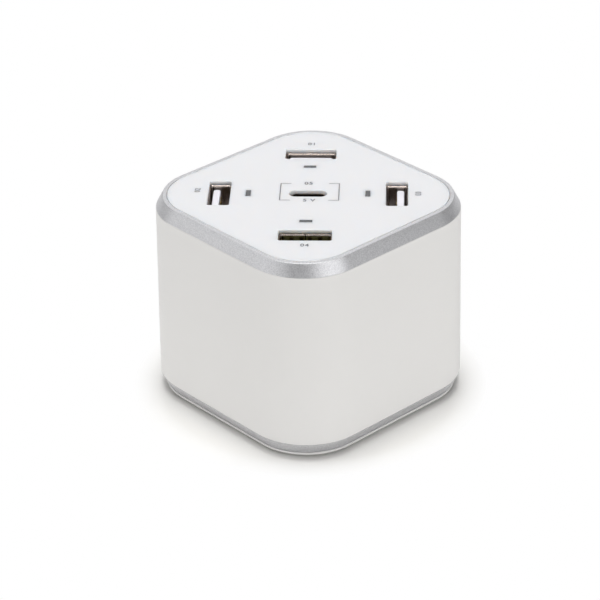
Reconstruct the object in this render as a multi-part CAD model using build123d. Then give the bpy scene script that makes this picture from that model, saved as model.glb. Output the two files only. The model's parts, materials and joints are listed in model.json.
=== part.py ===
from build123d import *
import os

os.makedirs("parts", exist_ok=True)

# Body outline: a rounded square turned so that its corners point along X and Y
body_side = 64.7
body_corner = 16.75
body_turn = 45
sleeve_draft = 0.6
wall = 2.0
edge_round = 0.25

# Heights, with the desk at zero
total_height = 54.5
foot_stand = 0.9
base_rim = 0.6
bottom_ring_height = 3.15
top_ring_height = 3.25

# Trim rings
bottom_ring_inset = 1.75
top_ring_inset = 2.25
land_width = 1.05
spigot_wall = 1.5
spigot_length = 3.0
spigot_fit = 0.1
ledge_width = 1.5
ledge_thickness = 1.6

# Top panel
panel_thickness = 2.0
panel_seam = 0.15
port_web = 1.0
pocket_fit = 0.2

# Base plate, feet and the screws hidden under them
plug_height = 1.9
plug_fit = 0.15
foot_radius = 4.5
foot_fit = 0.1
foot_recess = 0.6
foot_edge = 9.1
case_screw = 2.6
case_screw_head = 4.6
case_screw_head_height = 0.9
case_screw_length = 8.5
head_fit = 0.2
head_seat = 0.9
shank_fit = 0.3
post_radius = 3.2
post_top = 15.0
post_rib = 1.5
post_rib_low = 8.0
post_gap = 0.8
pilot_depth = 10.0

# Board screws
board_screw = 1.9
board_screw_head = 3.8
board_screw_head_height = 1.3
board_screw_length = 6.0
boss_radius = 2.75
boss_pilot_depth = 8.0

# USB-A receptacles, standing upright with the mouth upward
port_circle = 22.2
port_cut_wide = 13.0
port_cut_thick = 5.45
port_cut_corner = 0.6
usb_a_wide = 12.5
usb_a_thick = 5.12
usb_a_length = 14.0
shell_sheet = 0.3
shell_corner = 0.7
shell_gap = 0.15
shell_seam = 0.2
mouth_flare = 0.3
mouth_height = 0.65
leg_wide = 2.0
leg_length = 2.4
leg_fit = 0.15
tongue_wide = 11.1
tongue_thick = 1.84
tongue_depth = 1.9
tongue_corner = 0.7
tongue_round = 0.3
tongue_side_gap = 0.72
insulator_fit = 0.06
insulator_base = 4.0
contact_wide = 1.0
contact_thick = 0.25
contact_tip = 1.2
contact_places = [-3.5, -1.0, 1.0, 3.5]

# USB-C receptacle in the middle
usb_c_cut_wide = 9.4
usb_c_cut_thick = 3.3
usb_c_wide = 8.34
usb_c_thick = 2.56
usb_c_length = 9.0
usb_c_depth = 0.9
usb_c_base = 3.9
usb_c_fit = 0.05
usb_c_tongue_wide = 6.69
usb_c_tongue_thick = 0.7
usb_c_tongue_depth = 1.5
usb_c_contacts = 6
usb_c_contact_pitch = 1.0
usb_c_contact_wide = 0.4
usb_c_contact_thick = 0.1
riser_wide = 10.0
riser_thick = 4.6

# Indicator windows, light pipes and lamps
lamp_circle = 14.95
window_wide = 3.2
window_thick = 1.25
window_fit = 0.05
pipe_flange = 0.7
pipe_flange_height = 0.8
lamp_wide = 2.6
lamp_thick = 1.4
lamp_height = 0.8
lamp_gap = 0.2

# Circuit boards
board_thickness = 1.6
port_board_gap = 4.0
port_board_margin = 2.9
power_board_gap = 2.5
power_board_low = 8.0
boss_circle = 22.0
screw_edge = 2.2
power_screw_shift = {"front": 2.8, "right": 2.5, "rear": -2.8, "left": -11.3}
link_thick = 1.2
link_wide = 8.0
link_edge = 2.0
link_shift = 6.3

# Mains inlet for a two-pin appliance cord, in the flat side at the rear right
inlet_wide = 21.0
inlet_height = 11.8
inlet_back = 15.0
inlet_recess = 0.15
nose_wide = 19.0
nose_height = 10.0
nose_corner = 4.5
nose_fit = 0.15
socket_bore = 7.4
socket_waist = 5.6
socket_depth = 13.0
pin_pitch = 8.6
pin_radius = 1.18
pin_recess = 2.5
pin_round = 0.5

# Charge controllers and coils on the port board
controller_size = 5.0
controller_height = 1.0
controller_circle = 10.0
coil_size = 6.0
coil_height = 3.5
coil_corner = 1.0
coil_circle = 13.0

# Parts of the mains supply: places on the power board, then width, depth and height
can_round = 0.5
lead = 0.7
inlet_gap = 0.9
fuse_shift = 7.6
fuse_radius = 2.1
fuse_height = 8.0
x_capacitor_place = (9.0, -19.0)
x_capacitor_size = (10.0, 5.0, 11.0)
bridge_size = (3.2, 10.0, 9.0)
bulk_places = [(-4.0, -17.5), (-18.0, -8.0)]
bulk_radius = 6.0
bulk_gap = 1.6
output_places = [(-19.0, 4.5), (-18.0, 12.5)]
output_radius = 3.3
output_height = 16.0
optocoupler_place = (-12.8, 1.4)
optocoupler_size = (4.4, 6.4, 3.5)
pwm_place = (5.0, -13.0)
pwm_size = (5.0, 4.0, 1.6)
secondary_sink_place = (-12.7, 10.8)
secondary_sink_size = (1.4, 10.4, 16.0)
disc_shift = -11.2
disc_radius = 4.0
disc_thick = 3.4
disc_level = 5.0
disc_lead_place = 2.5

# Common-mode choke
choke_place = (9.0, 17.0)
core_outer = 6.0
core_inner = 3.2
core_height = 6.0
wire_build = 0.8
winding_arc = 130
winding_starts = [-25, 155]

# Transformer
transformer_place = (-1.0, 1.0)
core_wide = 20.0
core_deep = 6.0
leg_side = 3.0
window_gap = 4.0
yoke = 3.0
core_gap = 4.1
bobbin_foot = 2.5
bobbin_wall = 0.6
bobbin_fit = 0.1
flange_high = 0.8
flange_deep = 16.0
wind_deep = 14.8

# Power transistor and its heat sink
sink_middle = -5.5
sink_face = 20.0
primary_sink_size = (13.0, 1.2)
primary_sink_gap = 4.6
transistor_wide = 10.0
transistor_thick = 4.4
transistor_low = 3.0
transistor_high = 12.5
transistor_lead_pitch = 2.54

# Levels that follow from the sizes above
base_low = foot_stand
ring_low = base_low + base_rim
sleeve_low = ring_low + bottom_ring_height
sleeve_high = total_height - top_ring_height
panel_low = total_height - panel_thickness
plug_top = ring_low + plug_height
web_low = total_height - port_web
shell_top = web_low - shell_gap
mouth_low = shell_top - mouth_height
board_top = shell_top - usb_a_length
board_low = board_top - board_thickness
tongue_top = total_height - tongue_depth
usb_c_top = total_height - usb_c_depth
usb_c_low = usb_c_top - usb_c_length
power_top = power_board_low + board_thickness
spigot_outer = wall + spigot_fit
spigot_inner = spigot_outer + spigot_wall
recess_inset = top_ring_inset + land_width
panel_inset = recess_inset + panel_seam
plug_inset = spigot_inner + plug_fit
half_side = body_side / 2
body_reach = (half_side - body_corner) * 2 ** 0.5 + body_corner
foot_circle = body_reach - foot_edge
shell_thick = usb_a_thick + 2 * shell_sheet
shell_wide = usb_a_wide + 2 * shell_sheet
port_board_side = body_side - 2 * (wall + port_board_gap)
port_board_reach = port_circle + shell_thick / 2 + port_board_margin
power_board_side = body_side - 2 * (wall + power_board_gap)
power_board_reach = foot_circle - post_radius - post_gap
screw_circle = power_board_reach - screw_edge
link_place = (link_edge - port_board_side / 2, link_shift)
supply_room = board_low - coil_height - power_top

sides = {"front": -90, "right": 0, "rear": 90, "left": 180}
standing = (Align.CENTER, Align.CENTER, Align.MIN)


def keep(name, shape):
    export_step(shape, f"parts/{name}.step")


def keep_group(name, pieces):
    export_step(Compound(children=pieces), f"parts/{name}.step")


# Body outline at a height, set in from the outside by an even amount
def outline(inset, level):
    side = body_side - 2 * inset
    return Pos(0, 0, level) * Rot(0, 0, body_turn) * RectangleRounded(side, side, body_corner - inset)


def prism(inset, low, high):
    return extrude(outline(inset, low), amount=high - low)


# Frame of the flat sides: X runs to the rear right, Y to the rear left
def turned(shape):
    return Rot(0, 0, body_turn) * shape


# Frame of one corner: X runs outward from the middle
def at_corner(side, radius, shape):
    return Rot(0, 0, sides[side]) * Pos(radius, 0, 0) * shape


def post(radius, low, high, x=0, y=0):
    return Pos(x, y, low) * Cylinder(radius, high - low, align=standing)


def upright(x_size, y_size, low, high, x=0, y=0):
    return Pos(x, y, low) * Box(x_size, y_size, high - low, align=standing)


def rounded(x_size, y_size, corner, low, high):
    return extrude(Pos(0, 0, low) * RectangleRounded(x_size, y_size, corner), amount=high - low)


def pill(x_size, y_size, low, high):
    return extrude(Pos(0, 0, low) * SlotOverall(x_size, y_size), amount=high - low)


def end_edges(shape):
    levels = shape.edges().group_by(Axis.Z)
    return levels[0] + levels[-1]


# Sleeve drawn in towards its top, with four screw posts in its corners and the inlet's window
sleeve = loft([outline(0, sleeve_low).face(), outline(sleeve_draft, sleeve_high).face()], ruled=True)
sleeve = fillet(end_edges(sleeve), edge_round)
sleeve -= prism(wall, sleeve_low, sleeve_high)
rib_length = body_reach - wall / 2 - foot_circle
for side in sides:
    screw_post = post(post_radius, plug_top, post_top)
    screw_post += Pos(rib_length / 2, 0, 0) * upright(rib_length, post_rib, post_rib_low, post_top)
    screw_post -= post(case_screw / 2, plug_top, plug_top + pilot_depth)
    sleeve += at_corner(side, foot_circle, screw_post)
inlet_level = power_top + inlet_height / 2
draft_rate = sleeve_draft / (sleeve_high - sleeve_low)
nose_draft = draft_rate * (inlet_level + nose_height / 2 - sleeve_low)
inlet_front = half_side - nose_draft - inlet_recess
window = Plane.YZ * RectangleRounded(nose_wide + 2 * nose_fit, nose_height + 2 * nose_fit, nose_corner)
sleeve -= turned(Pos(half_side - 2 * wall, 0, inlet_level) * extrude(window, amount=3 * wall))
keep("side_shell", sleeve)

# Silver ring at the top: sloped outside, flat land, ledge for the panel, spigot into the sleeve
slope = loft([outline(sleeve_draft, sleeve_high).face(), outline(top_ring_inset, total_height).face()], ruled=True)
slope = fillet(slope.edges().group_by(Axis.Z)[-1], edge_round)
top_ring = slope + prism(spigot_outer, sleeve_high - spigot_length, sleeve_high)
top_ring -= prism(recess_inset, panel_low, total_height)
top_ring -= prism(recess_inset + ledge_width, panel_low - ledge_thickness, panel_low)
top_ring -= prism(spigot_inner, sleeve_high - spigot_length, panel_low - ledge_thickness)
keep("top_ring", top_ring)

# Silver ring at the bottom: sloped in towards the base, spigot up into the sleeve
bottom_ring = loft([outline(bottom_ring_inset, ring_low).face(), outline(0, sleeve_low).face()], ruled=True)
bottom_ring += prism(spigot_outer, sleeve_low, sleeve_low + spigot_length)
bottom_ring -= prism(spigot_inner, ring_low, sleeve_low + spigot_length)
keep("bottom_ring", bottom_ring)

# Base plate: rim under the ring, plug inside it, standoffs for the power board
base = prism(bottom_ring_inset, base_low, ring_low) + prism(plug_inset, ring_low, plug_top)
for side, shift in power_screw_shift.items():
    standoff = post(boss_radius, plug_top, power_board_low, 0, shift)
    standoff -= post(board_screw / 2, plug_top, power_board_low, 0, shift)
    base += at_corner(side, screw_circle, standoff)
head_low = plug_top - head_seat - case_screw_head_height
for side in sides:
    hole = post(foot_radius + foot_fit, base_low, base_low + foot_recess)
    hole += post(case_screw_head / 2 + head_fit, base_low, plug_top - head_seat)
    hole += post(case_screw / 2 + shank_fit / 2, base_low, plug_top)
    base -= at_corner(side, foot_circle, hole)
keep("base_plate", base)

# Rubber feet and the case screws above them
case_screws = []
for side in sides:
    foot = post(foot_radius, 0, base_low + foot_recess)
    foot = fillet(foot.edges().group_by(Axis.Z)[0], edge_round)
    keep(f"foot_{side}", at_corner(side, foot_circle, foot))
    screw = post(case_screw_head / 2, head_low, plug_top - head_seat)
    screw += post(case_screw / 2, plug_top - head_seat, plug_top - head_seat + case_screw_length)
    case_screws.append(at_corner(side, foot_circle, screw))
keep_group("base_screws", case_screws)

# Top panel: port cut-outs with pockets beneath, indicator windows, bosses for the port board
pocket_margin = mouth_flare + pocket_fit
panel = prism(panel_inset, panel_low, total_height)
for side in sides:
    cut = rounded(port_cut_thick, port_cut_wide, port_cut_corner, panel_low, total_height)
    panel -= at_corner(side, port_circle, cut)
panel -= pill(usb_c_cut_wide, usb_c_cut_thick, panel_low, total_height)
panel = fillet(panel.faces().sort_by(Axis.Z)[-1].edges(), edge_round)
for side in sides:
    pocket = upright(shell_thick + 2 * pocket_margin, shell_wide + 2 * pocket_margin, panel_low, web_low)
    panel -= at_corner(side, port_circle, pocket)
    slot = upright(window_thick, window_wide, panel_low, total_height)
    panel -= at_corner(side, lamp_circle, slot)
usb_c_outer_wide = usb_c_wide + 2 * shell_sheet
usb_c_outer_thick = usb_c_thick + 2 * shell_sheet
boss_places = [(boss_circle, 0), (0, boss_circle), (-boss_circle, 0), (0, -boss_circle)]
for x, y in boss_places:
    panel += turned(post(boss_radius, board_top, panel_low, x, y))
for x, y in boss_places:
    panel -= turned(post(board_screw / 2, board_top, board_top + boss_pilot_depth, x, y))
keep("top_panel", panel)

# Port board, hung from the panel's bosses, with slots for the receptacles' legs
port_board = turned(upright(port_board_side, port_board_side, board_low, board_top))
port_board &= upright(2 * port_board_reach, 2 * port_board_reach, board_low, board_top)
leg_place = shell_wide / 2 - shell_sheet / 2
for side in sides:
    for end in (-leg_place, leg_place):
        slot = upright(leg_wide + 2 * leg_fit, shell_sheet + 2 * leg_fit, board_low, board_top, 0, end)
        port_board -= at_corner(side, port_circle, slot)
hole_radius = board_screw / 2 + leg_fit
for x, y in boss_places:
    port_board -= turned(post(hole_radius, board_low, board_top, x, y))
keep("port_board", port_board)

port_screws = []
for x, y in boss_places:
    screw = post(board_screw_head / 2, board_low - board_screw_head_height, board_low, x, y)
    screw += post(board_screw / 2, board_low, board_low + board_screw_length, x, y)
    port_screws.append(turned(screw))
keep_group("port_board_screws", port_screws)

# Mouth of a folded shell, opened out towards the top
def flared(x_size, y_size, corner):
    narrow = Pos(0, 0, mouth_low) * RectangleRounded(x_size, y_size, corner)
    spread = 2 * mouth_flare
    broad = Pos(0, 0, shell_top) * RectangleRounded(x_size + spread, y_size + spread, corner + mouth_flare)
    return loft([narrow.face(), broad.face()], ruled=True)


# USB-A receptacles: folded steel shell with its seam, moulded insulator with its tongue, four contacts
half_thick = usb_a_thick / 2
inner_corner = shell_corner - shell_sheet
tongue_out = half_thick - tongue_side_gap
tongue_in = tongue_out - tongue_thick
base_top = board_top + insulator_base
for side in sides:
    shell = rounded(shell_thick, shell_wide, shell_corner, board_top, mouth_low)
    shell += flared(shell_thick, shell_wide, shell_corner)
    shell -= rounded(usb_a_thick, usb_a_wide, inner_corner, board_top, mouth_low)
    shell -= flared(usb_a_thick, usb_a_wide, inner_corner)
    shell -= upright(shell_thick, shell_seam, board_top, shell_top, -half_thick)
    for end in (-leg_place, leg_place):
        shell += upright(leg_wide, shell_sheet, board_top - leg_length, board_top, 0, end)
    keep(f"usb_a_shell_{side}", at_corner(side, port_circle, shell))

    fit = 2 * insulator_fit
    insulator = rounded(usb_a_thick - fit, usb_a_wide - fit, inner_corner, board_top, base_top)
    tongue_middle = (tongue_out + tongue_in) / 2
    tongue = Pos(tongue_middle, 0, 0) * rounded(tongue_thick, tongue_wide, tongue_corner, base_top, tongue_top)
    tongue = fillet(tongue.edges().group_by(Axis.Z)[-1], tongue_round)
    keep(f"usb_a_tongue_{side}", at_corner(side, port_circle, insulator + tongue))

    contacts = []
    for place in contact_places:
        strip_middle = tongue_in - contact_thick / 2
        strip = upright(contact_thick, contact_wide, base_top, tongue_top - contact_tip, strip_middle, place)
        contacts.append(at_corner(side, port_circle, strip))
    keep_group(f"usb_a_contacts_{side}", contacts)

# USB-C receptacle on its riser
keep("usb_c_riser", upright(riser_wide, riser_thick, board_top, usb_c_low))
usb_c_shell = pill(usb_c_outer_wide, usb_c_outer_thick, usb_c_low, usb_c_top)
usb_c_shell -= pill(usb_c_wide, usb_c_thick, usb_c_low, usb_c_top)
keep("usb_c_shell", usb_c_shell)
usb_c_base_top = usb_c_low + usb_c_base
usb_c_tongue_top = total_height - usb_c_tongue_depth
usb_c_tongue = pill(usb_c_wide - 2 * usb_c_fit, usb_c_thick - 2 * usb_c_fit, usb_c_low, usb_c_base_top)
usb_c_tongue += upright(usb_c_tongue_wide, usb_c_tongue_thick, usb_c_base_top, usb_c_tongue_top)
keep("usb_c_tongue", usb_c_tongue)
usb_c_strips = []
for face in (-1, 1):
    for index in range(usb_c_contacts):
        x = (index - (usb_c_contacts - 1) / 2) * usb_c_contact_pitch
        y = face * (usb_c_tongue_thick + usb_c_contact_thick) / 2
        strip_top = usb_c_tongue_top - contact_tip
        usb_c_strips.append(upright(usb_c_contact_wide, usb_c_contact_thick, usb_c_base_top, strip_top, x, y))
keep_group("usb_c_contacts", usb_c_strips)

# Light pipes flush in the panel's windows, each above a lamp on the port board
lamps = []
lamp_top = board_top + lamp_height
for side in sides:
    pipe_thick = window_thick - 2 * window_fit
    pipe_wide = window_wide - 2 * window_fit
    pipe = upright(pipe_thick, pipe_wide, lamp_top + lamp_gap, total_height)
    flange_low = panel_low - pipe_flange_height
    pipe += upright(pipe_thick + 2 * pipe_flange, pipe_wide + 2 * pipe_flange, flange_low, panel_low)
    keep(f"light_pipe_{side}", at_corner(side, lamp_circle, pipe))
    lamps.append(at_corner(side, lamp_circle, upright(lamp_thick, lamp_wide, board_top, lamp_top)))
keep_group("status_leds", lamps)

# Charge controllers on top of the port board, coils beneath it
controllers = []
for x, y in ((1, 0), (0, 1), (-1, 0), (0, -1)):
    chip = upright(controller_size, controller_size, board_top, board_top + controller_height)
    controllers.append(turned(Pos(x * controller_circle, y * controller_circle, 0) * chip))
keep_group("charge_controllers", controllers)
coil = upright(coil_size, coil_size, board_low - coil_height, board_low)
coil = fillet(coil.edges().filter_by(Axis.Z), coil_corner)
coils = [coil]
for side in sides:
    coils.append(at_corner(side, coil_circle, coil))
keep_group("port_inductors", coils)

# Power board on the base plate's standoffs
power_board = turned(upright(power_board_side, power_board_side, power_board_low, power_top))
power_board &= upright(2 * power_board_reach, 2 * power_board_reach, power_board_low, power_top)
for side, shift in power_screw_shift.items():
    power_board -= at_corner(side, screw_circle, post(hole_radius, power_board_low, power_top, 0, shift))
keep("power_board", power_board)

power_screws = []
for side, shift in power_screw_shift.items():
    screw = post(board_screw_head / 2, power_top, power_top + board_screw_head_height, 0, shift)
    screw += post(board_screw / 2, power_top - board_screw_length, power_top, 0, shift)
    power_screws.append(at_corner(side, screw_circle, screw))
keep_group("power_board_screws", power_screws)

# Upright board that carries the output from the power board to the port board
link_board = upright(link_thick, link_wide, power_top, board_low, *link_place)
keep("link_board", turned(link_board))

# Mains inlet: housing with a figure-eight socket and two round pins
housing_depth = half_side - 2 * wall - inlet_back
housing_middle = inlet_back + housing_depth / 2
housing = upright(housing_depth, inlet_wide, power_top, power_top + inlet_height, housing_middle)
nose_shape = RectangleRounded(nose_wide, nose_height, nose_corner)
nose = extrude(Plane.YZ * nose_shape, amount=inlet_front - inlet_back)
housing += Pos(inlet_back, 0, inlet_level) * nose
pin_places = [-pin_pitch / 2, pin_pitch / 2]
socket_shape = Rectangle(pin_pitch, socket_waist)
for place in pin_places:
    socket_shape += Pos(place, 0) * Circle(socket_bore / 2)
socket_back = inlet_front - socket_depth
housing -= Pos(socket_back, 0, inlet_level) * extrude(Plane.YZ * socket_shape, amount=socket_depth)
pins = []
for place in pin_places:
    pin = extrude(Plane.YZ * Circle(pin_radius), amount=inlet_front - pin_recess - inlet_back)
    pin = Pos(inlet_back, place, inlet_level) * fillet(pin.edges().group_by(Axis.X)[-1], pin_round)
    housing -= pin
    pins.append(turned(pin))
keep("ac_inlet_housing", turned(housing))
keep_group("ac_inlet_pins", pins)


# Parts soldered on the power board, placed in the frame of the flat sides
def on_board(x, y, shape):
    return turned(Pos(x, y, power_top) * shape)


def can(radius, height):
    body = Cylinder(radius, height, align=standing)
    return fillet(body.edges().group_by(Axis.Z)[-1], can_round)


def brick(x_size, y_size, height):
    return Box(x_size, y_size, height, align=standing)


row_front = inlet_back - inlet_gap
keep("fuse", on_board(row_front - fuse_radius, fuse_shift, can(fuse_radius, fuse_height)))
keep("x_capacitor", on_board(*x_capacitor_place, brick(*x_capacitor_size)))
keep("bridge_rectifier", on_board(row_front - bridge_size[0] / 2, 0, brick(*bridge_size)))
keep("optocoupler", on_board(*optocoupler_place, brick(*optocoupler_size)))
keep("pwm_controller", on_board(*pwm_place, brick(*pwm_size)))
keep("secondary_heatsink", on_board(*secondary_sink_place, brick(*secondary_sink_size)))
for number, place in enumerate(bulk_places, start=1):
    keep(f"bulk_capacitor_{number}", on_board(*place, can(bulk_radius, supply_room - bulk_gap)))
for number, place in enumerate(output_places, start=1):
    keep(f"output_capacitor_{number}", on_board(*place, can(output_radius, output_height)))
disc = Pos(0, 0, disc_level) * Rot(0, 90, 0) * Cylinder(disc_radius, disc_thick)
for place in (-disc_lead_place, disc_lead_place):
    disc += Pos(0, place, 0) * brick(lead, lead, disc_level)
keep("y_capacitor", on_board(row_front - disc_thick / 2, disc_shift, disc))

# Common-mode choke: ferrite ring with two windings round it
ring_core = post(core_outer, wire_build, wire_build + core_height)
ring_core -= post(core_inner, wire_build, wire_build + core_height)
winding_wide = core_outer - core_inner + 2 * wire_build
winding_high = core_height + 2 * wire_build
section = Pos((core_outer + core_inner) / 2, winding_high / 2) * Rectangle(winding_wide, winding_high)
winding = revolve(Plane.XZ * section, Axis.Z, revolution_arc=winding_arc) - ring_core
keep("choke_core", on_board(*choke_place, ring_core))
windings = [on_board(*choke_place, Rot(0, 0, start) * winding) for start in winding_starts]
keep_group("choke_windings", windings)

# Transformer: bobbin with its foot, winding, and two E-shaped core halves round the middle leg
middle_leg = core_wide - 2 * leg_side - 2 * window_gap
core_low = bobbin_foot
window_low = core_low + yoke
core_high = supply_room - core_gap
window_top = core_high - yoke
core_split = (core_low + core_high) / 2
frame_shape = upright(core_deep, core_wide, core_low, core_high)
gap_place = middle_leg / 2 + window_gap / 2
for place in (-gap_place, gap_place):
    frame_shape -= upright(core_deep, window_gap, window_low, window_top, 0, place)
half_cuts = {"lower": (core_low, core_split), "upper": (core_split, core_high)}
for name, (low, high) in half_cuts.items():
    half = frame_shape & upright(core_deep, core_wide, low, high)
    keep(f"transformer_core_{name}", on_board(*transformer_place, half))
flange_wide = middle_leg + 2 * window_gap - 2 * bobbin_fit
spool_low = window_low + bobbin_fit
spool_top = window_top - bobbin_fit
bore_deep = core_deep + 2 * bobbin_fit
bore_wide = middle_leg + 2 * bobbin_fit
tube_deep = bore_deep + 2 * bobbin_wall
tube_wide = bore_wide + 2 * bobbin_wall
bobbin = upright(flange_deep, flange_wide, spool_low, spool_low + flange_high)
bobbin += upright(flange_deep, flange_wide, spool_top - flange_high, spool_top)
bobbin += upright(tube_deep, tube_wide, spool_low, spool_top)
bobbin -= upright(bore_deep, bore_wide, spool_low, spool_top)
bobbin += upright(flange_deep, flange_wide, 0, bobbin_foot)
pillar_deep = flange_deep / 2 - core_deep / 2 - 2 * bobbin_fit
for end in (-1, 1):
    pillar_middle = end * (flange_deep / 2 - pillar_deep / 2)
    bobbin += upright(pillar_deep, flange_wide, 0, spool_low, pillar_middle)
keep("transformer_bobbin", on_board(*transformer_place, bobbin))
coil_pack = upright(wind_deep, flange_wide - 2 * bobbin_fit, spool_low + flange_high, spool_top - flange_high)
coil_pack -= upright(tube_deep, tube_wide, spool_low + flange_high, spool_top - flange_high)
keep("transformer_winding", on_board(*transformer_place, coil_pack))

# Power transistor standing against its heat sink
sink_place = (sink_middle, sink_face + primary_sink_size[1] / 2)
keep("primary_heatsink", on_board(*sink_place, brick(*primary_sink_size, supply_room - primary_sink_gap)))
transistor = upright(transistor_wide, transistor_thick, transistor_low, transistor_high)
for place in (-transistor_lead_pitch, 0, transistor_lead_pitch):
    transistor += upright(lead, lead, 0, transistor_low, place)
keep("power_transistor", on_board(sink_middle, sink_face - transistor_thick / 2, transistor))
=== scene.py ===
import json
import math
import bmesh
import bpy
from mathutils import Matrix, Vector


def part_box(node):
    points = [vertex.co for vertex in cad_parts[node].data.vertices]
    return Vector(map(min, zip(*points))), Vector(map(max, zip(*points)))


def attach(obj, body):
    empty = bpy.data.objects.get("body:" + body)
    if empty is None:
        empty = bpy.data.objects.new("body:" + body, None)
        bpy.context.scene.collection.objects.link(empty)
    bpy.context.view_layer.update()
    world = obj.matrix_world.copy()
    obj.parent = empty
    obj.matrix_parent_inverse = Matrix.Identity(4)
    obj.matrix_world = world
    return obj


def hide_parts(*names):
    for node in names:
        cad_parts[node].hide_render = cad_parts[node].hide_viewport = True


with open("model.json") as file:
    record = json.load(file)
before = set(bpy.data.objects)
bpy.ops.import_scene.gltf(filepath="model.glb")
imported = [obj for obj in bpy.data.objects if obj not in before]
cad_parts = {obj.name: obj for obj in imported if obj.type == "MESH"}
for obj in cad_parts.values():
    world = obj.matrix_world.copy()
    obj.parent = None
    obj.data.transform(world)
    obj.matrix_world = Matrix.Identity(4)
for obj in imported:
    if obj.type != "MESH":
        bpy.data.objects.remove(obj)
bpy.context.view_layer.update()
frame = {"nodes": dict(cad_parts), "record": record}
nodes = frame["nodes"]
slotOf = {part["node"]: part["material_slot"] for part in frame["record"]["subparts"]}
mm = 0.001
cornerAngles = {"right": 0, "rear": 90, "left": 180, "front": 270}
print("frame loaded,", len(nodes), "nodes")


# sRGB hex to linear colour
def linear(code):
    values = [int(code[i:i + 2], 16) / 255 for i in (1, 3, 5)]
    return [v / 12.92 if v <= 0.04045 else ((v + 0.055) / 1.055) ** 2.4 for v in values] + [1.0]


# one node with its settings, its fixed inputs and its links
def addNode(tree, kind, inputs=None, **settings):
    node = tree.nodes.new(kind)
    for key, value in settings.items():
        setattr(node, key, value)
    for socket, value in (inputs or {}).items():
        if isinstance(value, bpy.types.NodeSocket):
            tree.links.new(value, node.inputs[socket])
        else:
            node.inputs[socket].default_value = value
    return node


# Finishes, one for each slot of the record and one for the print. patch is the size of the change in
# colour, grain the size of the relief, depth its height and softDepth how far light goes in, all in mm
finishes = {
    # ABS from a polished tool: clean cool white, soft gloss, light goes in a little and comes out warmer
    "gloss_white": dict(name="polishedAbs", light="#E0E0E2", dark="#DEDEE0", patch=14,
                        roughness=(0.22, 0.28), ior=1.53, grain=2.6, depth=0.003,
                        soft=1.0, softDepth=2.5, softTint=(1.0, 0.88, 0.78)),
    # ABS from a spark-eroded tool: slightly warm white, a fine even grain that spreads the light
    "satin_white": dict(name="sparkErodedAbs", light="#EFEEED", dark="#EDECEB", patch=10,
                        roughness=(0.46, 0.54), ior=1.53, grain=0.3, depth=0.006),
    # silver lacquer on ABS: metal flakes in a satin film, a faint sparkle rather than a mirror. The flakes
    # are coarser than real ones, which would be too fine to show
    "silver": dict(name="silverLacquer", light="#E8E8EA", dark="#BFBFC2", patch=0.15,
                   roughness=(0.42, 0.50), metallic=0.9, grain=0.3, depth=0.003, flakes=True),
    # nickel on drawn steel: bright, faintly warm, even
    "steel": dict(name="nickelPlatedSteel", light="#B3A9A2", dark="#A89E97", patch=3,
                  roughness=(0.18, 0.24), metallic=1.0, grain=0.8, depth=0.001),
    # liquid crystal polymer, the plain matt plastic of connector insulators
    "white_insulator": dict(name="whiteConnectorPolymer", light="#EFEEF4", dark="#E8E7ED", patch=2,
                            roughness=(0.40, 0.50), ior=1.58, grain=0.2, depth=0.002),
    "green_insulator": dict(name="greenConnectorPolymer", light="#A7B07A", dark="#9CA56F", patch=2,
                            roughness=(0.40, 0.50), ior=1.58, grain=0.2, depth=0.002),
    "black_plastic": dict(name="blackConnectorPolymer", light="#19191B", dark="#141416", patch=2,
                          roughness=(0.40, 0.52), ior=1.58, grain=0.2, depth=0.002),
    # flash gold over nickel
    "gold_contact": dict(name="goldPlatedBronze", light="#CDB88C", dark="#BCA676", patch=0.8,
                         roughness=(0.2, 0.3), metallic=1.0, grain=0.2, depth=0.001),
    # smoked polycarbonate, dark because nothing glows behind it
    "smoked_window": dict(name="smokedPolycarbonate", light="#434448", dark="#3B3C40", patch=1.0,
                          roughness=(0.2, 0.28), ior=1.585, grain=0.4, depth=0.002),
    # epoxy glass board under green solder mask
    "board": dict(name="solderMask", light="#2C6B3C", dark="#235A31", patch=1.6,
                  roughness=(0.30, 0.42), ior=1.5, grain=0.5, depth=0.01),
    # zinc plating, bluish and slightly cloudy
    "screw_steel": dict(name="zincPlatedSteel", light="#BFC1C4", dark="#A8AAAE", patch=0.6,
                        roughness=(0.28, 0.42), metallic=1.0, grain=0.2, depth=0.003),
    # soft grey rubber, matt
    "rubber_foot": dict(name="greyRubber", light="#7D7E80", dark="#6F7072", patch=1.2,
                        roughness=(0.75, 0.9), ior=1.52, grain=0.25, depth=0.01),
    # pressed and fired powder, dull dark grey
    "ferrite": dict(name="sinteredFerrite", light="#3A3B3E", dark="#2F3033", patch=0.7,
                    roughness=(0.5, 0.7), ior=1.9, grain=0.3, depth=0.01),
    # enamelled wire laid turn on turn
    "copper": dict(name="enamelledCopper", light="#C4742F", dark="#A65A22", patch=0.5,
                   roughness=(0.2, 0.32), metallic=1.0, grain=0.5, depth=0.05),
    # shrunk film sleeve on an aluminium can
    "can": dict(name="shrinkSleevePet", light="#2B3350", dark="#242B45", patch=3,
                roughness=(0.3, 0.4), ior=1.57, grain=0.6, depth=0.006),
    # sheared sheet aluminium
    "heat_sink": dict(name="bareAluminium", light="#C9CACC", dark="#B6B7BA", patch=1.5,
                      roughness=(0.34, 0.48), metallic=1.0, grain=0.3, depth=0.006),
    # polyester film tape and cases
    "component_yellow": dict(name="polyesterFilm", light="#D9B23C", dark="#CBA233", patch=2,
                             roughness=(0.3, 0.42), ior=1.57, grain=0.5, depth=0.01),
    # dipped epoxy, lumpy and shiny
    "component_blue": dict(name="dippedEpoxy", light="#2F63B0", dark="#28559A", patch=1.4,
                           roughness=(0.25, 0.38), ior=1.55, grain=0.8, depth=0.02),
    # pad-printed ink, thin and matt, a little uneven in cover
    "print": dict(name="greyPadInk", light="#73747A", dark="#67686D", patch=0.3,
                  roughness=(0.45, 0.55), ior=1.5, grain=0.2, depth=0.001),
}


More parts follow.
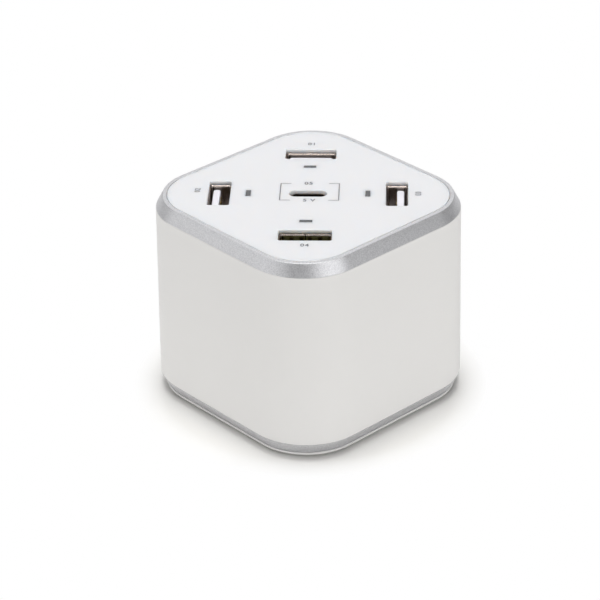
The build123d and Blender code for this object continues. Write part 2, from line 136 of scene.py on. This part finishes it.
# moulded, plated or lacquered surface: two close tones, uneven gloss and a fine relief
def makeFinish(spec):
    material = bpy.data.materials.new(spec["name"])
    material.use_nodes = True
    tree = material.node_tree
    tree.nodes.clear()
    place = addNode(tree, "ShaderNodeTexCoord").outputs["Object"]
    kind = "ShaderNodeTexVoronoi" if spec.get("flakes") else "ShaderNodeTexNoise"
    patch = addNode(tree, kind, {"Vector": place, "Scale": 1 / (spec["patch"] * mm)}).outputs["Color"]
    tone = addNode(tree, "ShaderNodeMix", {
        "Factor": patch, "A": linear(spec["dark"]), "B": linear(spec["light"])}, data_type="RGBA")
    smooth, rough = spec["roughness"]
    gloss = addNode(tree, "ShaderNodeMapRange", {"Value": patch, "To Min": smooth, "To Max": rough})
    relief = addNode(tree, "ShaderNodeTexNoise", {"Vector": place, "Scale": 1 / (spec["grain"] * mm)})
    bump = addNode(tree, "ShaderNodeBump", {"Height": relief.outputs["Fac"], "Distance": spec["depth"] * mm})
    shader = addNode(tree, "ShaderNodeBsdfPrincipled", {
        "Base Color": tone.outputs["Result"], "Roughness": gloss.outputs["Result"],
        "Normal": bump.outputs["Normal"], "Metallic": spec.get("metallic", 0.0), "IOR": spec.get("ior", 1.5),
        "Subsurface Weight": spec.get("soft", 0.0), "Subsurface Scale": spec.get("softDepth", 0.1) * mm,
        "Subsurface Radius": spec.get("softTint", (1.0, 1.0, 1.0))})
    addNode(tree, "ShaderNodeOutputMaterial", {"Surface": shader.outputs["BSDF"]})
    return material


materials = {slot: makeFinish(spec) for slot, spec in finishes.items()}
for name, node in nodes.items():
    node.data.materials.clear()
    node.data.materials.append(materials[slotOf[name]])
print("finishes made:", len(materials))


# Every piece ends here: one mesh at the origin, smooth except at its sharp edges, riding on the body
def addPiece(name, bm, finish, sharpAngle=28, node=None):
    bmesh.ops.recalc_face_normals(bm, faces=bm.faces)
    for face in bm.faces:
        face.smooth = True
    mesh = bpy.data.meshes.new(name)
    bm.to_mesh(mesh)
    bm.free()
    mesh.set_sharp_from_angle(angle=math.radians(sharpAngle))
    mesh.materials.append(materials[finish])
    piece = bpy.data.objects.new(name, mesh)
    bpy.context.scene.collection.objects.link(piece)
    weighted = piece.modifiers.new("weightedNormals", "WEIGHTED_NORMAL")
    weighted.keep_sharp = True
    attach(piece, "root")
    if node:
        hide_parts(node)
    return piece


# Rounded parts of the frame shown as smooth skins: their triangles merged
skins = dict(merge=0.001, nodes=[
    "side_shell", "base_plate", "ac_inlet_housing", "ac_inlet_pins", "usb_c_shell",
    "foot_front", "foot_right", "foot_rear", "foot_left",
    "usb_a_tongue_front", "usb_a_tongue_right", "usb_a_tongue_rear", "usb_a_tongue_left"])
for name in skins["nodes"]:
    bm = bmesh.new()
    bm.from_mesh(nodes[name].data)
    bmesh.ops.remove_doubles(bm, verts=bm.verts, dist=skins["merge"] * mm)
    addPiece(name + "_skin", bm, slotOf[name], node=name)
print("skins made:", len(skins["nodes"]))


# Panel: its own copy, with the rims of the port openings rounded over where the tool was polished. The
# ports lie within reach of the middle, measured square to the sides, and the windows stay sharp. In mm and
# degrees
panel = dict(merge=0.001, flat=0.5, sharp=45, rim=0.35, rimSteps=4, reach=24.0, windows=15.0, windowReach=2.2)
bm = bmesh.new()
bm.from_mesh(nodes["top_panel"].data)
bmesh.ops.remove_doubles(bm, verts=bm.verts, dist=panel["merge"] * mm)
bmesh.ops.dissolve_limit(bm, angle_limit=math.radians(panel["flat"]), verts=bm.verts, edges=bm.edges)
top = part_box("top_panel")[1].z
rims = []
for edge in bm.edges:
    if min(vert.co.z for vert in edge.verts) < top - panel["merge"] * mm or edge.is_boundary:
        continue
    x, y = [abs(value) / mm for value in ((edge.verts[0].co + edge.verts[1].co) / 2)[:2]]
    isSharp = edge.calc_face_angle() > math.radians(panel["sharp"])
    atWindow = abs(max(x, y) - panel["windows"]) < panel["windowReach"] and min(x, y) < panel["windowReach"]
    if isSharp and x + y < panel["reach"] * math.sqrt(2) and not atWindow:
        rims.append(edge)
bmesh.ops.bevel(bm, geom=rims, offset=panel["rim"] * mm, segments=panel["rimSteps"], profile=0.5,
                affect="EDGES", material=-1)
addPiece("panelSkin", bm, "gloss_white", node="top_panel")
print("panel made,", len(rims), "rim edges")


# Swept pieces. A section is a closed chain of (inset from the outline, level) and rounds says which of its
# corners are softened and how far. It runs along each side of a rounded rectangle and turns at its corners,
# from the middle of the left side back to there, where gap leaves a seam open. All in mm
sweep = dict(softSteps=4, merge=0.001)


def sweepRound(points, rounds, halfX, halfY, corner, steps, gap=0):
    bm = bmesh.new()
    chain = [bm.verts.new((inset - halfX, -gap / 2, level)) for inset, level in points]
    for start, end in zip(chain, chain[1:] + chain[:1]):
        bm.edges.new((start, end))
    for index, softness in rounds.items():
        bmesh.ops.bevel(bm, geom=[chain[index]], offset=softness, segments=sweep["softSteps"], profile=0.5,
                        affect="VERTICES", material=-1)
    farX, farY = halfX - corner, halfY - corner
    runs = [(0, gap / 2 - farY), (2 * farX, 0), (0, 2 * farY), (-2 * farX, 0), (0, gap / 2 - farY)]
    centres = [(-farX, -farY), (farX, -farY), (farX, farY), (-farX, farY)]
    section = list(bm.edges)
    for index, (x, y) in enumerate(runs):
        made = bmesh.ops.extrude_edge_only(bm, edges=section)
        moved = [part for part in made["geom"] if isinstance(part, bmesh.types.BMVert)]
        bmesh.ops.translate(bm, vec=(x, y, 0), verts=moved)
        section = [part for part in made["geom"] if isinstance(part, bmesh.types.BMEdge)
                   and part.verts[0] in moved and part.verts[1] in moved]
        if index < len(centres):
            made = bmesh.ops.spin(bm, geom=section + moved, cent=(*centres[index], 0), axis=(0, 0, 1),
                                  angle=math.pi / 2, steps=steps)
            section = [part for part in made["geom_last"] if isinstance(part, bmesh.types.BMEdge)]
    bmesh.ops.remove_doubles(bm, verts=bm.verts, dist=sweep["merge"])
    bmesh.ops.holes_fill(bm, edges=[edge for edge in bm.edges if edge.is_boundary])
    return bm


# Trim rings: silver, sloped on the outside, with a spigot into the sleeve
body = dict(corner=16.75, turn=45, arcSteps=28)
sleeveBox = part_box("side_shell")
sleeveHigh = sleeveBox[1].z / mm
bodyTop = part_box("top_panel")[1].z / mm
halfSide = (sleeveBox[1].x / mm - body["corner"]) / math.sqrt(2) + body["corner"]


def addRing(name, points, rounds, finish, node=None):
    bm = sweepRound(points, rounds, halfSide, halfSide, body["corner"], body["arcSteps"])
    place = Matrix.Scale(mm, 4) @ Matrix.Rotation(math.radians(body["turn"]), 4, "Z")
    bmesh.ops.transform(bm, matrix=place, verts=bm.verts)
    addPiece(name, bm, finish, node=node)


# the land between slope and panel lies a little lower than the panel
topTrim = dict(foot=0.6, head=2.3, land=3.36, landDrop=0.13, ledge=4.8, ledgeThick=1.6,
               spigotOut=2.1, spigotIn=3.6, spigotLong=3.0, panelThick=2.0,
               softFoot=0.12, softHead=0.08, softLand=0.04)
landTop = bodyTop - topTrim["landDrop"]
ledgeTop = bodyTop - topTrim["panelThick"]
ledgeLow = ledgeTop - topTrim["ledgeThick"]
spigotEnd = sleeveHigh - topTrim["spigotLong"]
addRing("topTrim", [
    (topTrim["foot"], sleeveHigh), (topTrim["head"], landTop), (topTrim["land"], landTop),
    (topTrim["land"], ledgeTop), (topTrim["ledge"], ledgeTop), (topTrim["ledge"], ledgeLow),
    (topTrim["spigotIn"], ledgeLow), (topTrim["spigotIn"], spigotEnd), (topTrim["spigotOut"], spigotEnd),
    (topTrim["spigotOut"], sleeveHigh)],
    {0: topTrim["softFoot"], 1: topTrim["softHead"], 2: topTrim["softLand"]}, "silver", "top_ring")

lowTrim = dict(foot=1.75, spigotOut=2.1, spigotIn=3.6, spigotLong=3.0, soft=0.12)
ringLow, spigotEnd = [corner.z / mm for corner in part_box("bottom_ring")]
sleeveLow = spigotEnd - lowTrim["spigotLong"]
addRing("lowTrim", [
    (lowTrim["foot"], ringLow), (0, sleeveLow), (lowTrim["spigotOut"], sleeveLow),
    (lowTrim["spigotOut"], spigotEnd), (lowTrim["spigotIn"], spigotEnd), (lowTrim["spigotIn"], ringLow)],
    {0: lowTrim["soft"], 1: lowTrim["soft"]}, "silver", "bottom_ring")

# white edge of the base, a little proud of the ring's foot so that it catches the light
baseEdge = dict(out=1.45, inner=3.0, soft=0.25)
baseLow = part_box("base_plate")[0].z / mm
addRing("baseEdge", [
    (baseEdge["out"], baseLow), (baseEdge["out"], ringLow),
    (baseEdge["inner"], ringLow), (baseEdge["inner"], baseLow)],
    {0: baseEdge["soft"], 1: baseEdge["soft"]}, "satin_white")
print("trim rings made")


# USB-A shells: folded sheet with a seam in the long wall next to the middle, and a mouth that curls
# outwards, in mm
shell = dict(thick=4.95, wide=12.25, corner=0.4, sheet=0.3, seam=0.2, long=14.0,
             curl=0.45, curlDeep=0.37, lipDrop=0.2, softBend=0.15, softLip=0.08, arcSteps=8,
             legWide=2.0, legLong=2.4)


# middle of a receptacle's mouth, and the turn that brings X outwards there
def portPlace(side):
    low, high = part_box("usb_a_shell_" + side)
    mouth = Matrix.Translation(((low.x + high.x) / 2, (low.y + high.y) / 2, high.z))
    return mouth @ Matrix.Rotation(math.radians(cornerAngles[side]), 4, "Z") @ Matrix.Scale(mm, 4)


for side in cornerAngles:
    bm = sweepRound([
        (0, -shell["long"]), (0, -shell["curlDeep"]), (-shell["curl"], 0),
        (-shell["curl"] - shell["sheet"] / 2, -shell["lipDrop"]),
        (-shell["sheet"], -shell["curlDeep"] - shell["sheet"] / 2), (-shell["sheet"], -shell["long"])],
        {1: shell["softBend"], 2: shell["softLip"], 3: shell["softLip"], 4: shell["softBend"]},
        shell["thick"] / 2, shell["wide"] / 2, shell["corner"], shell["arcSteps"], shell["seam"])
    for end in (-1, 1):
        leg = bmesh.ops.create_cube(bm, size=1)
        middle = -shell["long"] - shell["legLong"] / 2
        stand = Matrix.Translation((0, end * (shell["wide"] + shell["sheet"]) / 2, middle))
        size = Matrix.Diagonal((shell["legWide"], shell["sheet"], shell["legLong"], 1))
        bmesh.ops.transform(bm, matrix=stand @ size, verts=leg["verts"])
    bmesh.ops.transform(bm, matrix=portPlace(side), verts=bm.verts)
    addPiece("usbShell_" + side, bm, "steel", node="usb_a_shell_" + side)
print("shells made")


# Leaf springs pressed out of the long walls of each USB-A shell, in mm below its mouth
springs = dict(wide=1.8, places=(-2.6, 2.6), sheet=0.2, root=10.0, bend=6.0, bendIn=0.25,
               touch=4.6, touchIn=0.55, tip=3.2, tipIn=0.2, soft=0.5, softSteps=4)
bends = [(0, "root"), (springs["bendIn"], "bend"), (springs["touchIn"], "touch"), (springs["tipIn"], "tip")]
for side in cornerAngles:
    bm = bmesh.new()
    for wallSide in (-1, 1):
        wall = wallSide * shell["thick"] / 2
        for place in springs["places"]:
            leaf = bmesh.new()
            chain = [leaf.verts.new((wall - wallSide * inward, place - springs["wide"] / 2, -springs[depth]))
                     for inward, depth in bends]
            for start, end in zip(chain, chain[1:]):
                leaf.edges.new((start, end))
            bmesh.ops.bevel(leaf, geom=[chain[2]], offset=springs["soft"], segments=springs["softSteps"],
                            profile=0.5, affect="VERTICES", material=-1)
            made = bmesh.ops.extrude_edge_only(leaf, edges=leaf.edges)
            moved = [part for part in made["geom"] if isinstance(part, bmesh.types.BMVert)]
            bmesh.ops.translate(leaf, vec=(0, springs["wide"], 0), verts=moved)
            bmesh.ops.recalc_face_normals(leaf, faces=leaf.faces)
            bmesh.ops.solidify(leaf, geom=leaf.faces, thickness=springs["sheet"])
            mesh = bpy.data.meshes.new("leaf")
            leaf.to_mesh(mesh)
            leaf.free()
            bm.from_mesh(mesh)
            bpy.data.meshes.remove(mesh)
    bmesh.ops.transform(bm, matrix=portPlace(side), verts=bm.verts)
    addPiece("usbSprings_" + side, bm, "steel")
print("springs made")


# Print on the panel: brackets beside the middle port and a plain number at each port. A legend's place is
# its middle and its turn, in mm and degrees
ink = dict(lift=0.01)
bracket = dict(middle=(0.37, 0.79), wide=14.9, deep=9.4, tick=2.7, line=0.21)
legends = dict(size=2.0, spacing=1.15, bold=0.03, places={
    "01": (0.1, 28.0, 0), "02": (-27.7, 1.4, 90), "03": (27.4, 0.0, -90), "04": (0.1, -27.5, 0),
    "05": (0.0, 5.4, 0), "5 V": (0.35, -3.9, 0)})
inkLevel = bodyTop + ink["lift"]


# a flat bar of ink between two opposite corners
def inkBar(bm, x0, y0, x1, y1):
    made = bmesh.ops.create_grid(bm, x_segments=1, y_segments=1, size=0.5)
    spread = Matrix.Diagonal((abs(x1 - x0), abs(y1 - y0), 1, 1))
    move = Matrix.Translation(((x0 + x1) / 2, (y0 + y1) / 2, inkLevel))
    bmesh.ops.transform(bm, matrix=Matrix.Scale(mm, 4) @ move @ spread, verts=made["verts"])


bm = bmesh.new()
for end in (-1, 1):
    outer = bracket["middle"][0] + end * bracket["wide"] / 2
    inner = outer - end * bracket["line"]
    low = bracket["middle"][1] - bracket["deep"] / 2
    high = bracket["middle"][1] + bracket["deep"] / 2
    inkBar(bm, outer, low, inner, high)
    inkBar(bm, inner, low, outer - end * bracket["tick"], low + bracket["line"])
    inkBar(bm, inner, high, outer - end * bracket["tick"], high - bracket["line"])
addPiece("portBracket", bm, "print")

for text, (x, y, turn) in legends["places"].items():
    curve = bpy.data.curves.new("legend", "FONT")
    curve.body = text
    curve.size = legends["size"]
    curve.space_character = legends["spacing"]
    curve.offset = legends["bold"]
    curve.align_x = "CENTER"
    curve.align_y = "CENTER"
    letters = bpy.data.objects.new("legend", curve)
    bpy.context.scene.collection.objects.link(letters)
    bpy.context.view_layer.update()
    mesh = bpy.data.meshes.new_from_object(letters)
    bpy.data.objects.remove(letters)
    mesh.transform(Matrix.Rotation(math.radians(turn), 4, "Z"))
    mesh.transform(Matrix.Scale(mm, 4) @ Matrix.Translation((x, y, inkLevel)))
    bm = bmesh.new()
    bm.from_mesh(mesh)
    bpy.data.meshes.remove(mesh)
    addPiece("legend" + text.replace(" ", ""), bm, "print")
print("print made")


# Floor, light and camera, in metres. A lamp is a flat soft box that looks at the charger from an azimuth,
# counted from the front to the right, and an elevation
# floorLift is a faint painted glow on the floor near the charger; between whiteFrom and whiteFull it rises to
# a white painted glow that covers the charger's shadow
studio = dict(floorSize=8.0, floorColor="#F5F4F1", floorLift=0.03, whiteFrom=0.0385, whiteFull=0.046,
              worldLight=0.1, aim=(0, 0, 0.03))
lamps = {
    "softboxAbove": dict(azimuth=180, elevation=88, distance=1.1, size=(0.5, 0.5), power=8.75),
    "softboxAboveLeft": dict(azimuth=-90, elevation=55, distance=1.1, size=(0.7, 0.7), power=1.4),
    "softboxAboveFront": dict(azimuth=8, elevation=58, distance=1.1, size=(0.3, 0.3), power=0.9),
    "softboxLeft": dict(azimuth=-65, elevation=18, distance=1.2, size=(1.8, 0.6), power=3.6),
    "softboxRight": dict(azimuth=47, elevation=19, distance=1.2, size=(1.08, 0.6), power=4.5),
    "softboxRear": dict(azimuth=180, elevation=30, distance=1.2, size=(0.9, 0.6), power=1.9),
}
shot = dict(distance=0.64814, azimuth=2.3185, elevation=31.1816, height=0.0015,
            yaw=0.2183, pitch=1.7248, roll=-0.7649, lens=149.4, nearest=0.01)

mesh = bpy.data.meshes.new("floor")
bm = bmesh.new()
bmesh.ops.create_grid(bm, x_segments=1, y_segments=1, size=studio["floorSize"] / 2)
bm.to_mesh(mesh)
bm.free()
floor = bpy.data.objects.new("floor", mesh)
bpy.context.scene.collection.objects.link(floor)
material = bpy.data.materials.new("paperSweep")
material.use_nodes = True
tree = material.node_tree
tree.nodes.clear()
paper = addNode(tree, "ShaderNodeBsdfDiffuse", {"Color": linear(studio["floorColor"])})
# painted glow: away from the charger the floor glows white over the outer part of its shadow, in the picture
# and in what metal and glass show; near the charger the glow is faint and the rendered shadow shows
place = addNode(tree, "ShaderNodeTexCoord").outputs["Object"]
reach = addNode(tree, "ShaderNodeVectorMath", {0: place}, operation="LENGTH")
white = addNode(tree, "ShaderNodeMapRange", {
    "Value": reach.outputs["Value"], "From Min": studio["whiteFrom"], "From Max": studio["whiteFull"],
    "To Min": studio["floorLift"], "To Max": 1.0})
path = addNode(tree, "ShaderNodeLightPath")
direct = addNode(tree, "ShaderNodeMath", {
    0: path.outputs["Is Camera Ray"], 1: path.outputs["Is Glossy Ray"]}, operation="ADD")
seen = addNode(tree, "ShaderNodeMath", {
    0: direct.outputs["Value"], 1: path.outputs["Is Transmission Ray"]}, operation="ADD", use_clamp=True)
lift = addNode(tree, "ShaderNodeMath", {
    0: seen.outputs["Value"], 1: white.outputs["Result"]}, operation="MULTIPLY")
glow = addNode(tree, "ShaderNodeEmission", {"Strength": 1.0})
both = addNode(tree, "ShaderNodeMixShader", {
    0: lift.outputs["Value"], 1: paper.outputs["BSDF"], 2: glow.outputs["Emission"]})
addNode(tree, "ShaderNodeOutputMaterial", {"Surface": both.outputs["Shader"]})
mesh.materials.append(material)

world = bpy.data.worlds.new("studio")
bpy.context.scene.world = world
world.use_nodes = True
tree = world.node_tree
tree.nodes.clear()
sky = addNode(tree, "ShaderNodeBackground", {"Strength": studio["worldLight"]})
addNode(tree, "ShaderNodeOutputWorld", {"Surface": sky.outputs["Background"]})


# unit vector from the charger towards an azimuth and elevation
def towards(azimuth, elevation):
    turn, rise = math.radians(azimuth), math.radians(elevation)
    return Vector((math.sin(turn) * math.cos(rise), -math.cos(turn) * math.cos(rise), math.sin(rise)))


for name, spec in lamps.items():
    light = bpy.data.lights.new(name, "AREA")
    light.shape = "RECTANGLE"
    light.size, light.size_y = spec["size"]
    light.energy = spec["power"]
    lamp = bpy.data.objects.new(name, light)
    away = towards(spec["azimuth"], spec["elevation"])
    lamp.location = Vector(studio["aim"]) + away * spec["distance"]
    lamp.rotation_euler = (-away).to_track_quat("-Z", "Y").to_euler()
    bpy.context.scene.collection.objects.link(lamp)

back = towards(shot["azimuth"], shot["elevation"])
aim = (-back).to_track_quat("-Z", "Y").to_matrix().to_4x4()
for axis, turn in (("Y", shot["yaw"]), ("X", shot["pitch"]), ("Z", shot["roll"])):
    aim = aim @ Matrix.Rotation(math.radians(turn), 4, axis)
camera = bpy.data.objects.new("camera", bpy.data.cameras.new("camera"))
camera.data.lens = shot["lens"]
camera.data.clip_start = shot["nearest"]
camera.matrix_world = Matrix.Translation(back * shot["distance"] + Vector((0, 0, shot["height"]))) @ aim
bpy.context.scene.collection.objects.link(camera)
bpy.context.scene.camera = camera
bpy.context.scene.view_settings.view_transform = "Standard"
print("studio made")
